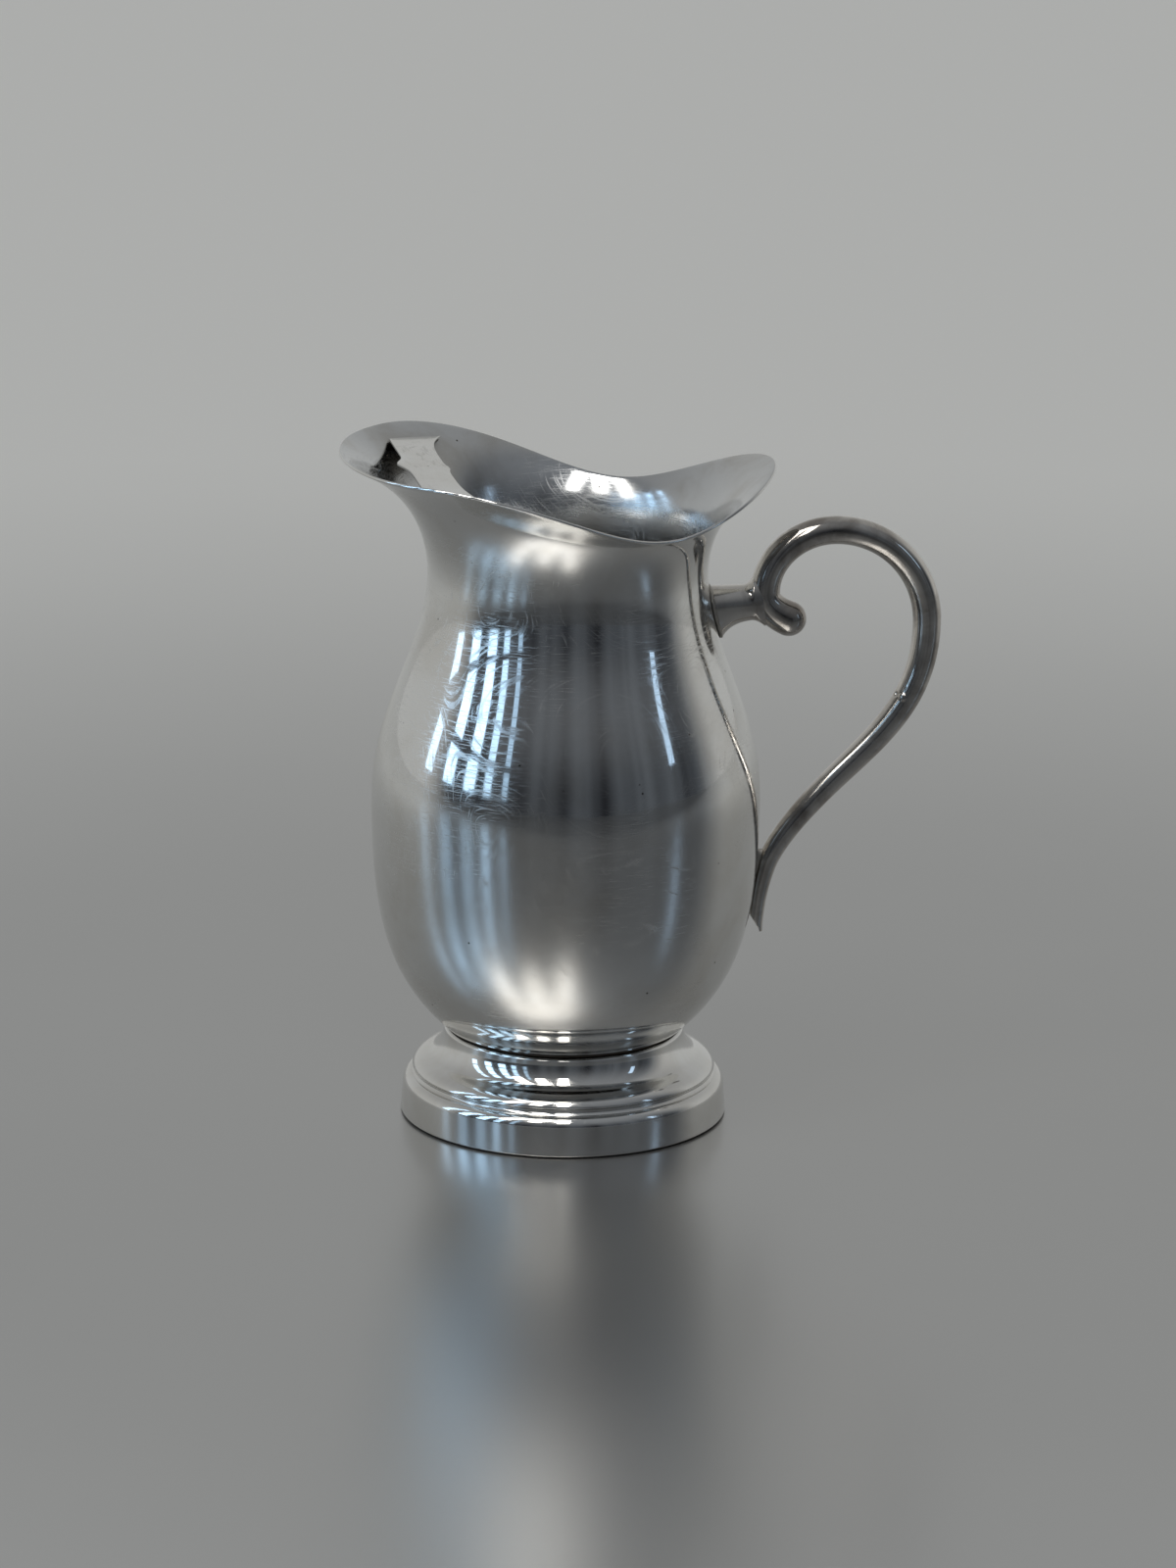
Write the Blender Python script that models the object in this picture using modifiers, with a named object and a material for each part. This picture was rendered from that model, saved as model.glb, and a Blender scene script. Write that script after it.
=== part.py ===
"""Silver-plated water pitcher: a spun vessel with a wavy flared mouth and an ice guard in its spout,
on a spun pedestal foot, with a cast scroll handle. Every joint is soldered and nothing moves.

Metres, +Z up. The handle points to +X and the spout to -X. The origin is on the standing surface,
midway between the spout's lip and the back of the handle.
"""
import math

import bmesh
import bpy
from mathutils import Vector
from mathutils.geometry import interpolate_bezier

# Sheet, seams and facets
BODY_WALL = 0.0010
FOOT_WALL = 0.0010
SOLDER = 0.0008          # thickness of a soldered seam
SEAM_GAP = 0.0003        # clearance between a piece and the one that it seats on
BODY_FACETS = 56
FOOT_FACETS = 48
PAD_FACETS = 20
CURVE_STEPS = 10         # points along one cubic curve of the vessel's outline or the handle
SMALL_CURVE_STEPS = 5    # the same for the mouldings of the foot

# Vessel: flat seat, bowl, neck. Each rise is counted from the height before it.
SEAT_RADIUS = 0.0421
BOWL_SPREAD = 0.0189     # run and rise of the bowl's slope where it leaves the seat
BOWL_LIFT = 0.0174
BULGE_RADIUS = 0.0670
BULGE_RISE = 0.0805
BULGE_FULLNESS_BELOW = 0.0439
BULGE_FULLNESS_ABOVE = 0.0327
NECK_RADIUS = 0.0480
NECK_RISE = 0.0796
NECK_LENGTH = 0.0269     # how long the neck stays slim

# Mouth: rises of the rim above the neck, its reaches from the axis, and the angles from the handle
# at which the rim is lowest, reaches the spout's height, is narrowest and reaches its full spread
HANDLE_LIP_RISE = 0.0365
SIDE_DIP_RISE = 0.0208
SPOUT_LIP_RISE = 0.0416
HANDLE_LIP_REACH = 0.0713
SIDE_DIP_REACH = 0.0550
SPOUT_LIP_REACH = 0.0783
DIP_ANGLE = math.radians(60)
CREST_ANGLE = math.radians(140)
WAIST_ANGLE = math.radians(65)
SPREAD_ANGLE = math.radians(160)
LIP_CURL = 0.32          # share of the flare that curls out close to the rim
MOUTH_STEPS = 9

# Ice guard: a plate across the spout, just under the rim
GUARD_THICKNESS = 0.0008
GUARD_DROP = 0.0036      # below the spout's lip, at the plate's middle
GUARD_TILT = math.radians(7)
GUARD_REACH = 0.0560     # of its spout-side edge from the axis, beside the tongue
GUARD_WIDTH = 0.0140
GUARD_TONGUE = 0.0025
GUARD_TONGUE_WIDTH = 0.0060
GUARD_END_FLARE = 0.0060
GUARD_BEAD = 0.0008      # radius of the solder bead under each end
GUARD_EDGE_STEPS = 14
GUARD_END_STEPS = 4

# Foot: a flare under the bowl, a dome, a groove, and a band with a hem turned in at the bottom
FOOT_HEIGHT = 0.0310
FOOT_TOP_STEP = 0.0005   # how far its top edge lies behind the edge of the vessel's seat
FOOT_TOP_LEDGE = 0.0071  # width of the flange and its solder, in from the edge of the seat
FOOT_SOLDER_STEP = 0.0008
FLARE_RADIUS = 0.0468
FLARE_HEIGHT = 0.0208
FLARE_SLOPE = 0.35       # fall of the flare where the dome takes over
DOME_RADIUS = 0.0526
DOME_HEIGHT = 0.0166
GROOVE_DEPTH = 0.0008
GROOVE_WIDTH = 0.0018
BAND_TOP_RADIUS = 0.0558
BAND_HEIGHT = 0.0104
FOOT_RADIUS = 0.0565
HEM_ROUND = 0.0007
HEM_WIDTH = 0.0035

# Handle: socket on the neck, thumb curl, bow, shank and tail
SOCKET_DROP = 0.0131     # below the neck's slimmest height
SOCKET_RADIUS = 0.0062
SOCKET_FLARE_DOWN = 0.0055
SOCKET_FLARE_SIDE = 0.0012
SOCKET_SOLDER_LIP = 0.0006  # how far the solder shows round the socket
ROOT_REACH = 0.0194      # of the bar's centre from the neck, at the socket
ROOT_RISE = 0.0030
ROOT_RADIUS = 0.0052
CURL_REACH = 0.0085
CURL_DROP = 0.0093
CURL_RADIUS = 0.0061
CURL_SLOPE = math.radians(24)
BOW_TOP_REACH = 0.0432
BOW_TOP_RISE = 0.0245
BOW_RADIUS = 0.0335
BAR_RADIUS = 0.0049
SHANK_REACH = 0.0281     # of the shank's middle from the bowl, at the tail's seat
SHANK_RISE = 0.0300
SHANK_RADIUS = 0.0042
SHANK_SLOPE = math.radians(44)
TAIL_DROP = 0.0280       # of the tail's seat below the bulge
TAIL_RADIUS = 0.0034
TAIL_LEAN = math.radians(17)
TAIL_LENGTH = 0.0235     # below its seat
TAIL_TIP_RADIUS = 0.0024
TAIL_TIP_INSET = 0.0034  # of the tip from the seat, towards the bowl
TAIL_CUT = math.radians(30)
TAIL_SOLDER_HEIGHT = 0.0060
TAIL_SOLDER_WIDTH = 0.0021
BAR_SIDES = 4            # subdivision of the round bar
BEAD_SIDES = 2

ARC = 0.5523             # handle length of a cubic curve that follows a quarter circle

# Heights that follow from the stack of foot, solder and vessel
SEAT_HEIGHT = FOOT_HEIGHT + SOLDER + 2 * SEAM_GAP
BULGE_HEIGHT = SEAT_HEIGHT + BULGE_RISE
NECK_HEIGHT = BULGE_HEIGHT + NECK_RISE
SOCKET_HEIGHT = NECK_HEIGHT - SOCKET_DROP
TAIL_HEIGHT = BULGE_HEIGHT - TAIL_DROP


def curve_points(start, start_handle, end_handle, end, count):
    """Points of one cubic curve in the (radius or reach, height) plane."""
    corners = [Vector((x, z, 0)) for x, z in (start, start_handle, end_handle, end)]
    return [(p.x, p.y) for p in interpolate_bezier(*corners, count)]


def offset_outline(outline, distance):
    """The outline moved to its right-hand side, seen along its run, by an even distance."""
    moved = []
    for i, (x, z) in enumerate(outline):
        ends = [pair for pair in ((i - 1, i), (i, i + 1)) if pair[0] >= 0 and pair[1] < len(outline)]
        runs = [(Vector(outline[b]) - Vector(outline[a])).normalized() for a, b in ends]
        normals = [Vector((run.y, -run.x)) for run in runs]
        mean = sum(normals, Vector((0, 0))).normalized()
        even = distance / mean.dot(normals[0])
        moved.append((x + mean.x * even, z + mean.y * even))
    return moved


def ease(start, end, share):
    """Cosine step from start to end."""
    share = min(max(share, 0.0), 1.0)
    return start + (end - start) * (1 - math.cos(math.pi * share)) / 2


def rim_rise(angle):
    """Height of the rim above the neck, at an angle from the handle."""
    if angle < DIP_ANGLE:
        return ease(HANDLE_LIP_RISE, SIDE_DIP_RISE, angle / DIP_ANGLE)
    return ease(SIDE_DIP_RISE, SPOUT_LIP_RISE, (angle - DIP_ANGLE) / (CREST_ANGLE - DIP_ANGLE))


def rim_reach(angle):
    """Distance of the rim from the axis, at an angle from the handle."""
    if angle < WAIST_ANGLE:
        return ease(HANDLE_LIP_REACH, SIDE_DIP_REACH, angle / WAIST_ANGLE)
    return ease(SIDE_DIP_REACH, SPOUT_LIP_REACH, (angle - WAIST_ANGLE) / (SPREAD_ANGLE - WAIST_ANGLE))


def flare(share):
    """How far the mouth has opened at a share of its height: a trumpet with a curled lip."""
    return (1 - LIP_CURL) * share**2 + LIP_CURL * share**5


def mouth_radius(angle, height):
    """Outer radius of the mouth at an angle from the handle and a height."""
    share = (height - NECK_HEIGHT) / rim_rise(angle)
    return NECK_RADIUS + (rim_reach(angle) - NECK_RADIUS) * flare(share)


def mouth_bore(angle, height):
    """Inner radius of the mouth: the wall's level thickness grows as the flare leans out."""
    step = BODY_WALL / 10
    outer = mouth_radius(angle, height)
    slope = (mouth_radius(angle, height + step) - outer) / step
    return outer - BODY_WALL * math.hypot(1, slope)


# Outer outline of the vessel, from a level rim at the spout's size down to the middle of its seat
mouth_outline = []
for i in range(MOUTH_STEPS):
    height = NECK_HEIGHT + SPOUT_LIP_RISE * (1 - i / MOUTH_STEPS)
    mouth_outline.append((mouth_radius(math.pi, height), height))
side_outline = curve_points(
    (NECK_RADIUS, NECK_HEIGHT),
    (NECK_RADIUS, NECK_HEIGHT - NECK_LENGTH),
    (BULGE_RADIUS, BULGE_HEIGHT + BULGE_FULLNESS_ABOVE),
    (BULGE_RADIUS, BULGE_HEIGHT),
    CURVE_STEPS,
)
side_outline += curve_points(
    (BULGE_RADIUS, BULGE_HEIGHT),
    (BULGE_RADIUS, BULGE_HEIGHT - BULGE_FULLNESS_BELOW),
    (SEAT_RADIUS + BOWL_SPREAD, SEAT_HEIGHT + BOWL_LIFT),
    (SEAT_RADIUS, SEAT_HEIGHT),
    CURVE_STEPS,
)[1:]
vessel_outline = mouth_outline + side_outline + [(SEAT_RADIUS / 2, SEAT_HEIGHT), (0.0, SEAT_HEIGHT)]


def side_radius(height):
    """Outer radius of the faceted vessel between its seat and its neck."""
    for (upper_radius, upper), (lower_radius, lower) in zip(side_outline, side_outline[1:]):
        if height >= lower:
            break
    return lower_radius + (upper_radius - lower_radius) * (height - lower) / (upper - lower)


# Turning points of the handle's centre line: reach from the axis, height
neck_side = side_radius(SOCKET_HEIGHT)
tail_side = side_radius(TAIL_HEIGHT)
tail_stand = (2 * SEAM_GAP + SOLDER + TAIL_RADIUS) / math.cos(TAIL_LEAN)
root = Vector((neck_side + ROOT_REACH, SOCKET_HEIGHT + ROOT_RISE))
curl = root + Vector((CURL_REACH, -CURL_DROP))
bow_top = Vector((neck_side + BOW_TOP_REACH, SOCKET_HEIGHT + BOW_TOP_RISE))
bow_back = bow_top + Vector((BOW_RADIUS, -BOW_RADIUS))
shank = Vector((tail_side + SHANK_REACH, TAIL_HEIGHT + SHANK_RISE))
tail_seat = Vector((tail_side + tail_stand, TAIL_HEIGHT))
tail_tip = tail_seat + Vector((-TAIL_TIP_INSET, -TAIL_LENGTH))

# The vessel's axis is set off from the origin, so that the origin is midway along the pitcher
handle_reach = bow_back.x + BAR_RADIUS
axis_x = (SPOUT_LIP_REACH - handle_reach) / 2

for old in list(bpy.data.objects):
    bpy.data.objects.remove(old, do_unlink=True)

parts = bpy.data.collections.new("water_pitcher")
cutters = bpy.data.collections.new("cutters")
bpy.context.scene.collection.children.link(parts)
bpy.context.scene.collection.children.link(cutters)

vessel_axis = bpy.data.objects.new("vessel_axis", None)
vessel_axis.location = (axis_x, 0, 0)
parts.objects.link(vessel_axis)


def metal(name, colour, roughness):
    """Surface of one kind of piece."""
    material = bpy.data.materials.new(name)
    material.use_nodes = True
    shader = material.node_tree.nodes["Principled BSDF"]
    shader.inputs["Base Color"].default_value = (*colour, 1)
    shader.inputs["Metallic"].default_value = 1
    shader.inputs["Roughness"].default_value = roughness
    return material


bright_plate = metal("bright_silver_plate", (0.70, 0.69, 0.66), 0.16)
toned_plate = metal("toned_silver_plate", (0.50, 0.48, 0.45), 0.24)
pale_solder = metal("pale_solder", (0.58, 0.57, 0.55), 0.40)
dark_solder = metal("dark_solder", (0.10, 0.09, 0.08), 0.55)


def place(name, data, material):
    """A new object that rides on the vessel's axis."""
    obj = bpy.data.objects.new(name, data)
    obj.parent = vessel_axis
    if material:
        data.materials.append(material)
    parts.objects.link(obj)
    return obj


def baked(obj):
    """The object's evaluated shape as a plain mesh with its doubles merged. The object is removed."""
    bpy.context.view_layer.update()
    graph = bpy.context.evaluated_depsgraph_get()
    mesh = bpy.data.meshes.new_from_object(obj.evaluated_get(graph), depsgraph=graph)
    bpy.data.objects.remove(obj, do_unlink=True)
    shape = bmesh.new()
    shape.from_mesh(mesh)
    bmesh.ops.remove_doubles(shape, verts=shape.verts, dist=0.00001)
    bmesh.ops.recalc_face_normals(shape, faces=shape.faces)
    shape.to_mesh(mesh)
    shape.free()
    mesh.shade_smooth()
    return mesh


def turned(name, outline, facets, material, closed):
    """A (radius, height) outline turned round the axis."""
    count = len(outline)
    edges = [(i, i + 1) for i in range(count - 1)]
    if closed:
        edges.append((count - 1, 0))
    mesh = bpy.data.meshes.new(name)
    mesh.from_pydata([(x, 0, z) for x, z in outline], edges, [])
    obj = place(name, mesh, material)
    screw = obj.modifiers.new("turning", "SCREW")
    screw.axis = "Z"
    screw.steps = facets
    screw.render_steps = facets
    screw.use_merge_vertices = True
    screw.merge_threshold = 0.00001
    return obj


def pad(name, rings, material, shaped):
    """A short closed tube of unit radius and length, whose points a function then puts in place."""
    outline = [(0.0, 1.0)] + [(1.0, 1 - i / rings) for i in range(rings + 1)] + [(0.0, 0.0)]
    mesh = baked(turned(name, outline, PAD_FACETS, None, False))
    for vertex in mesh.vertices:
        vertex.co = shaped(*vertex.co)
    return place(name, mesh, material)


def bar(name, run, sides, material):
    """A round bar along (x, y, z, radius) points, with filled ends."""
    data = bpy.data.curves.new(name, "CURVE")
    data.dimensions = "3D"
    data.bevel_depth = 1
    data.bevel_resolution = sides
    data.use_fill_caps = True
    spline = data.splines.new("POLY")
    spline.points.add(len(run) - 1)
    for point, (x, y, z, radius) in zip(spline.points, run):
        point.co = (x, y, z, 1)
        point.radius = radius
    return place(name, data, material)


def as_cutter(obj):
    """Moves a shape that only cuts out of the pitcher's own pieces."""
    for home in list(obj.users_collection):
        home.objects.unlink(obj)
    cutters.objects.link(obj)
    obj.parent = vessel_axis
    obj.hide_render = True
    obj.display_type = "WIRE"
    return obj


def cut(obj, cutter):
    """Takes the cutter's shape out of an object."""
    boolean = obj.modifiers.new(cutter.name, "BOOLEAN")
    boolean.operation = "DIFFERENCE"
    boolean.solver = "EXACT"
    boolean.object = cutter


# Foot: outside outline from the flange under the bowl down to the hem, then the inside back up
foot_top_radius = SEAT_RADIUS - FOOT_TOP_STEP
foot_top_bore = SEAT_RADIUS - FOOT_TOP_LEDGE
flare_fall = FOOT_HEIGHT - FLARE_HEIGHT
flare_spread = FLARE_RADIUS - foot_top_radius
dome_spread = DOME_RADIUS - FLARE_RADIUS
groove_radius = DOME_RADIUS - GROOVE_DEPTH
groove_top = DOME_HEIGHT - GROOVE_DEPTH
groove_base = groove_top - GROOVE_WIDTH / 2
band_shoulder = groove_base - GROOVE_WIDTH / 2
foot_outside = [(foot_top_bore, FOOT_HEIGHT), (foot_top_radius - FOOT_WALL, FOOT_HEIGHT)]
foot_outside += curve_points(
    (foot_top_radius, FOOT_HEIGHT - FOOT_WALL),
    (foot_top_radius, FOOT_HEIGHT - flare_fall / 2),
    (FLARE_RADIUS - flare_spread / 2, FLARE_HEIGHT + FLARE_SLOPE * flare_spread / 2),
    (FLARE_RADIUS, FLARE_HEIGHT),
    SMALL_CURVE_STEPS,
)
foot_outside += curve_points(
    (FLARE_RADIUS, FLARE_HEIGHT),
    (FLARE_RADIUS + dome_spread / 2, FLARE_HEIGHT - FLARE_SLOPE * dome_spread / 2),
    (DOME_RADIUS - dome_spread / 8, (FLARE_HEIGHT + DOME_HEIGHT) / 2),
    (DOME_RADIUS, DOME_HEIGHT),
    SMALL_CURVE_STEPS,
)[1:]
foot_outside += [(groove_radius, groove_top), (groove_radius, groove_base)]
foot_outside += curve_points(
    (DOME_RADIUS, band_shoulder),
    (DOME_RADIUS + (BAND_TOP_RADIUS - DOME_RADIUS) * ARC, band_shoulder),
    (BAND_TOP_RADIUS, BAND_HEIGHT + (band_shoulder - BAND_HEIGHT) * (1 - ARC)),
    (BAND_TOP_RADIUS, BAND_HEIGHT),
    SMALL_CURVE_STEPS,
)
foot_outside += [(FOOT_RADIUS, HEM_ROUND), (FOOT_RADIUS - HEM_ROUND, 0.0), (FOOT_RADIUS - HEM_WIDTH, 0.0)]
foot_inside = offset_outline(foot_outside, FOOT_WALL)
turned("foot", foot_outside + foot_inside[::-1], FOOT_FACETS, bright_plate, True)

# Dark solder line between the foot's flange and the vessel's seat
solder_low = FOOT_HEIGHT + SEAM_GAP
solder_high = solder_low + SOLDER
solder_edge = SEAT_RADIUS - FOOT_SOLDER_STEP
solder_outline = [(foot_top_bore, solder_high), (solder_edge, solder_high),
                  (solder_edge, solder_low), (foot_top_bore, solder_low)]
turned("foot_solder", solder_outline, FOOT_FACETS, dark_solder, True)

# Vessel: spun with a level rim, then its mouth is drawn to the wavy rim and the sheet gets its thickness
spun = baked(turned("body_shell", vessel_outline, BODY_FACETS, None, False))
for vertex in spun.vertices:
    share = (vertex.co.z - NECK_HEIGHT) / SPOUT_LIP_RISE
    if share > 0:
        angle = abs(math.atan2(vertex.co.y, vertex.co.x))
        height = NECK_HEIGHT + share * rim_rise(angle)
        stretch = mouth_radius(angle, height) / math.hypot(vertex.co.x, vertex.co.y)
        vertex.co = (vertex.co.x * stretch, vertex.co.y * stretch, height)
body_shell = place("body_shell", spun, bright_plate)
sheet = body_shell.modifiers.new("sheet", "SOLIDIFY")
sheet.thickness = BODY_WALL
sheet.offset = 1         # the spun faces look inwards, and so does the thickness
sheet.use_even_offset = True

# Ice guard: a flat plate, tilted down into the vessel, whose ends follow the inside of the spout
guard_middle = GUARD_WIDTH / 2 - GUARD_REACH
guard_height = NECK_HEIGHT + SPOUT_LIP_RISE - GUARD_DROP
guard_end_width = GUARD_WIDTH + GUARD_END_FLARE


def guard_plane(x):
    """Height of the plate's middle surface at a distance along X."""
    return guard_height - (x - guard_middle) * math.tan(GUARD_TILT)


def spout_half_width(x, height, clearance):
    """Half width of the space inside the spout at X, less a clearance to the wall."""
    half = SPOUT_LIP_REACH / 2
    for _ in range(12):
        bore = mouth_bore(math.atan2(half, x), height) - clearance
        half = math.sqrt(bore**2 - x**2)
    return half


def guard_half(x):
    """Half length of the plate at X, measured below its lower face, where the wall is closest."""
    return spout_half_width(x, guard_plane(x) - GUARD_THICKNESS, SEAM_GAP)


guard_stations = [guard_end_width * i / GUARD_END_STEPS - GUARD_REACH for i in range(GUARD_END_STEPS + 1)]
lip_half = guard_half(guard_stations[0])
back_half = guard_half(guard_stations[-1])
guard_outline = []
for i in range(GUARD_EDGE_STEPS + 1):
    y = lip_half * (2 * i / GUARD_EDGE_STEPS - 1)
    tongue = GUARD_TONGUE * math.exp(-((y / GUARD_TONGUE_WIDTH) ** 2))
    guard_outline.append((-GUARD_REACH - tongue, y))
for x in guard_stations[1:-1]:
    guard_outline.append((x, guard_half(x)))
for i in range(GUARD_EDGE_STEPS + 1):
    share = 1 - 2 * i / GUARD_EDGE_STEPS
    x = GUARD_WIDTH + GUARD_END_FLARE * abs(share) ** 3 - GUARD_REACH
    guard_outline.append((x, back_half * share))
for x in guard_stations[-2:0:-1]:
    guard_outline.append((x, -guard_half(x)))

plate = bpy.data.curves.new("ice_guard", "CURVE")
plate.dimensions = "2D"
plate.fill_mode = "BOTH"
plate.extrude = GUARD_THICKNESS / 2
edge = plate.splines.new("POLY")
edge.points.add(len(guard_outline) - 1)
edge.use_cyclic_u = True
for point, (x, y) in zip(edge.points, guard_outline):
    point.co = ((x - guard_middle) / math.cos(GUARD_TILT), y, 0, 1)
ice_guard = place("ice_guard", plate, bright_plate)
ice_guard.location = (guard_middle, 0, guard_height)
ice_guard.rotation_euler = (0, GUARD_TILT, 0)

# Solder beads in the corners between the plate's ends and the wall
for side, name in ((-1, "guard_solder_left"), (1, "guard_solder_right")):
    bead = []
    for x in guard_stations[1:-1]:
        height = guard_plane(x) - GUARD_THICKNESS / 2 / math.cos(GUARD_TILT) - SEAM_GAP - GUARD_BEAD
        half = spout_half_width(x, height - GUARD_BEAD, SEAM_GAP + GUARD_BEAD)
        bead.append((x, side * half, height, GUARD_BEAD))
    bar(name, bead, BEAD_SIDES, pale_solder)

# Handle: (place, direction, reach of the curve before and after it, bar radius) along the centre line
down = Vector((0, -1))
shank_run = -Vector((math.cos(SHANK_SLOPE), math.sin(SHANK_SLOPE)))
tail_run = -Vector((math.sin(TAIL_LEAN), math.cos(TAIL_LEAN)))
bow_drop = bow_back.y - shank.y
handle_stations = [
    (curl, Vector((-math.cos(CURL_SLOPE), math.sin(CURL_SLOPE))), 0, CURL_REACH / 2, CURL_RADIUS),
    (root, -down, CURL_DROP / 2, ARC * (bow_top.y - root.y), ROOT_RADIUS),
    (bow_top, Vector((1, 0)), ARC * (bow_top.x - root.x), ARC * BOW_RADIUS, BAR_RADIUS),
    (bow_back, down, ARC * BOW_RADIUS, bow_drop / 2, BAR_RADIUS),
    (shank, shank_run, bow_drop * 0.4, SHANK_RISE * 0.6, SHANK_RADIUS),
    (tail_seat, tail_run, SHANK_RISE / 4, TAIL_LENGTH / 3, TAIL_RADIUS),
    (tail_tip, down, TAIL_LENGTH / 3, 0, TAIL_TIP_RADIUS),
]
handle_run = []
for start, end in zip(handle_stations, handle_stations[1:]):
    place_a, run_a, _, after, radius_a = start
    place_b, run_b, before, _, radius_b = end
    span = curve_points(place_a, place_a + run_a * after, place_b - run_b * before, place_b, CURVE_STEPS)
    for i, (x, z) in enumerate(span[:-1]):
        handle_run.append((x, z, radius_a + (radius_b - radius_a) * i / (CURVE_STEPS - 1)))
handle_run.append((tail_tip.x, tail_tip.y, TAIL_TIP_RADIUS))

# The thumb curl ends in a dome
curl_out = -handle_stations[0][1]
dome_angles = [math.radians(turn) for turn in (80, 60, 40, 20)]
curl_dome = []
for turn in dome_angles:
    spot = curl + curl_out * CURL_RADIUS * math.sin(turn)
    curl_dome.append((spot.x, spot.y, CURL_RADIUS * math.cos(turn)))
handle_run = curl_dome + handle_run


def handle_bar(name, grown):
    """The handle's bar, made fatter by a clearance for the pieces that seat on it."""
    run = [(x, 0, z, radius + grown) for x, z, radius in handle_run]
    return baked(bar(name, run, BAR_SIDES, None))


handle_scroll = place("handle_scroll", handle_bar("handle_scroll", 0), toned_plate)
handle_clearance = as_cutter(place("handle_clearance", handle_bar("handle_clearance", SEAM_GAP), None))

# The tail is cut off at a slant
cut_size = 8 * TAIL_TIP_RADIUS
cut_run = Vector((math.cos(TAIL_CUT), math.sin(TAIL_CUT)))
cut_middle = tail_tip - down * TAIL_TIP_RADIUS - cut_run * cut_size / 2
bpy.ops.mesh.primitive_cube_add(size=cut_size)
tail_cutter = as_cutter(bpy.context.object)
tail_cutter.name = "tail_cutter"
tail_cutter.location = (cut_middle.x, 0, cut_middle.y)
tail_cutter.rotation_euler = (0, -TAIL_CUT, 0)
cut(handle_scroll, tail_cutter)


def off_side(y, z, clearance):
    """Distance along X, from the axis, of a point that stands off the vessel's side."""
    return math.sqrt((side_radius(z) + clearance) ** 2 - y**2)


def socket_section(across, up, share, lip):
    """Y and Z of a point on the socket's section, which flares towards the neck (share 0)."""
    spread = (1 - share) ** 3
    half_width = SOCKET_RADIUS + SOCKET_FLARE_SIDE * spread + lip
    half_height = SOCKET_RADIUS + (SOCKET_FLARE_DOWN * spread if up < 0 else 0) + lip
    return across * half_width, SOCKET_HEIGHT + up * half_height


def socket_solder_point(across, up, share):
    y, z = socket_section(across, up, 0, SOCKET_SOLDER_LIP)
    return off_side(y, z, SEAM_GAP + share * SOLDER), y, z


def socket_point(across, up, share):
    y, z = socket_section(across, up, share, 0)
    neck_end = off_side(y, z, 2 * SEAM_GAP + SOLDER)
    return neck_end + (root.x - neck_end) * share, y, z


def tail_solder_point(across, up, share):
    y = across * TAIL_SOLDER_WIDTH
    z = TAIL_HEIGHT + up * TAIL_SOLDER_HEIGHT
    return off_side(y, z, SEAM_GAP + share * (SOLDER + TAIL_RADIUS)), y, z


# Solder and socket on the neck, and solder behind the tail, all hollowed to the handle's bar
pad("socket_solder", 1, pale_solder, socket_solder_point)
handle_socket = pad("handle_socket", 5, toned_plate, socket_point)
cut(handle_socket, handle_clearance)
tail_solder = pad("tail_solder", 1, pale_solder, tail_solder_point)
cut(tail_solder, handle_clearance)
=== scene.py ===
"""Silver-plated water pitcher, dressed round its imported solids: spun foot and vessel, ice guard, cast
scroll handle and the solder between them, on a plain floor in soft studio light. Metres, +Z up."""
import math

import bpy
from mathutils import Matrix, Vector
from mathutils.geometry import interpolate_bezier


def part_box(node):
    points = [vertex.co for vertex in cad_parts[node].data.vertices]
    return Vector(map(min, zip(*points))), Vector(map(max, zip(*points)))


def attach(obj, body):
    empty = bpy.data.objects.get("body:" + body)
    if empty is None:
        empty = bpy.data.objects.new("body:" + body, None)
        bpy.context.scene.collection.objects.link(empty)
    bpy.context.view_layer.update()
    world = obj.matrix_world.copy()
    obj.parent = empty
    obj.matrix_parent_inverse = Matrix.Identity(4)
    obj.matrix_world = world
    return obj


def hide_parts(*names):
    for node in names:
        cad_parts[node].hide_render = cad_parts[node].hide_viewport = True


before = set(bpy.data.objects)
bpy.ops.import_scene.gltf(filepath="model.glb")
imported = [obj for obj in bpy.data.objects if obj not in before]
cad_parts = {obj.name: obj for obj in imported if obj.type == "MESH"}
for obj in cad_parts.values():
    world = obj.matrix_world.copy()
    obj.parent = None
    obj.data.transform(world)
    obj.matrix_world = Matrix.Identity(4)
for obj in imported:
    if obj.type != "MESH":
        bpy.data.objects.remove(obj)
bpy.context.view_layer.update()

# FOOT
# A pedestal spun from brass sheet and silver-plated: a flare under the bowl, a domed step, a groove and
# an upright band, hollow underneath, with its bottom edge turned in as a hem.
foot_low, foot_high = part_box("foot")
axis_x = (foot_low.x + foot_high.x) / 2
foot_radius = (foot_high.x - foot_low.x) / 2
foot_height = foot_high.z
foot_wall = 0.0010
foot_top_radius = 0.0416
foot_top_bore = 0.0350
flare_radius = 0.0468
flare_height = 0.0208
flare_slope = 0.35
dome_radius = 0.0526
dome_height = 0.0166
groove_depth = 0.0008
groove_width = 0.0018
band_top_radius = 0.0558
band_height = 0.0104
hem_round = 0.0007
hem_width = 0.0035
hem_fold = 0.0002        # points nearer than this close up in the hem's inner corner
foot_edge_round = 0.00022
round_facets = 192
moulding_steps = 12
ring_merge = 0.000005
quarter_arc = 0.5523     # handle length of a cubic curve that follows a quarter circle


def curve_points(start, start_handle, end_handle, end, count):
    """Points of one cubic curve in the (radius or reach, height) plane."""
    corners = [Vector((x, z, 0)) for x, z in (start, start_handle, end_handle, end)]
    return [(p.x, p.y) for p in interpolate_bezier(*corners, count)]


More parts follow.
